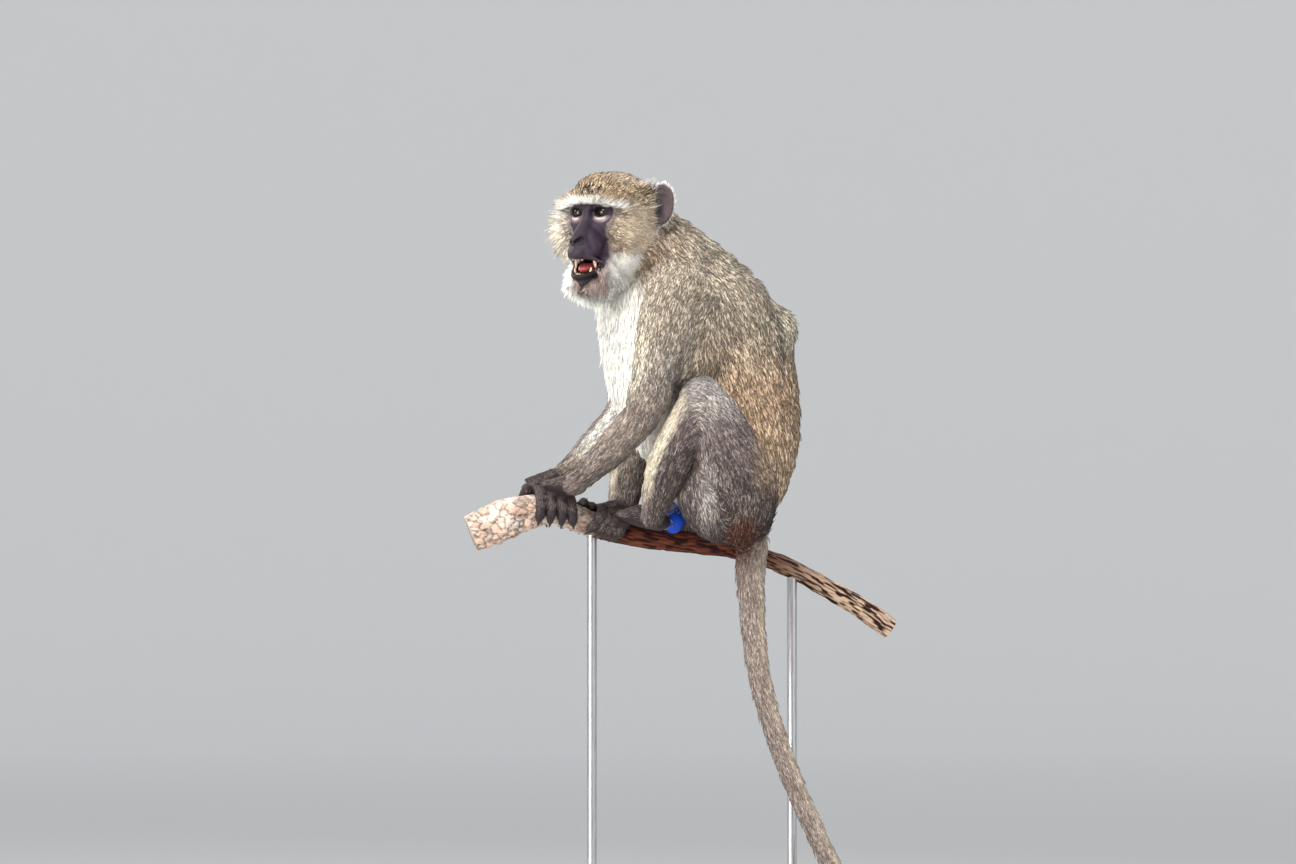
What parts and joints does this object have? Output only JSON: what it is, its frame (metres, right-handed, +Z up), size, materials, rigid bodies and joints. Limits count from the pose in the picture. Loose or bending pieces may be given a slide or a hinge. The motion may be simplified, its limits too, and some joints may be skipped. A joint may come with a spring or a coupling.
{
  "type": "vervet monkey model",
  "caption": "Life-size vervet monkey sitting on a cut branch with its head turned and its mouth open, held up by a plain stand with rods.",
  "frame": {"origin": "middle of the stand base's underside, which is the middle of the model's footprint", "axes": "+Z up, the monkey faces -X, its left side is towards -Y"},
  "size_m": [0.47, 0.3, 0.9799],
  "materials": {
    "olive_coat": "grizzled olive-brown fur, matt",
    "grey_coat": "close grey fur, matt",
    "white_coat": "long white fur, matt",
    "dark_skin": "bare black-violet skin, soft sheen",
    "blue_skin": "bare bright blue skin, soft sheen",
    "red_tongue": "wet red tongue and gums",
    "ivory": "ivory teeth, semi-gloss",
    "horn": "dark claws, semi-gloss",
    "eye_glaze": "dark brown eyes, wet gloss",
    "bark": "flaking bark, matt",
    "dark_wood": "stained wood, satin",
    "rod_steel": "brushed steel"
  },
  "bodies": {
    "root": {"head": "olive_coat", "lower_jaw": "white_coat", "left_ear": "dark_skin", "right_ear": "dark_skin", "left_eye": "eye_glaze", "right_eye": "eye_glaze", "tongue": "red_tongue", "neck": "olive_coat", "chest": "olive_coat", "loins": "olive_coat", "left_upper_arm": "grey_coat", "right_upper_arm": "grey_coat", "left_forearm": "grey_coat", "right_forearm": "grey_coat", "left_hand": "dark_skin", "right_hand": "dark_skin", "left_thigh": "grey_coat", "right_thigh": "grey_coat", "left_shank": "grey_coat", "right_shank": "grey_coat", "left_foot": "dark_skin", "right_foot": "dark_skin", "tail_base": "grey_coat", "tail_middle": "grey_coat", "tail_tip": "grey_coat", "scrotum": "blue_skin", "perch_branch": "bark", "stand_base": "dark_wood", "stand_rod_front": "rod_steel", "stand_rod_rear": "rod_steel"}
  },
  "joints": []
}
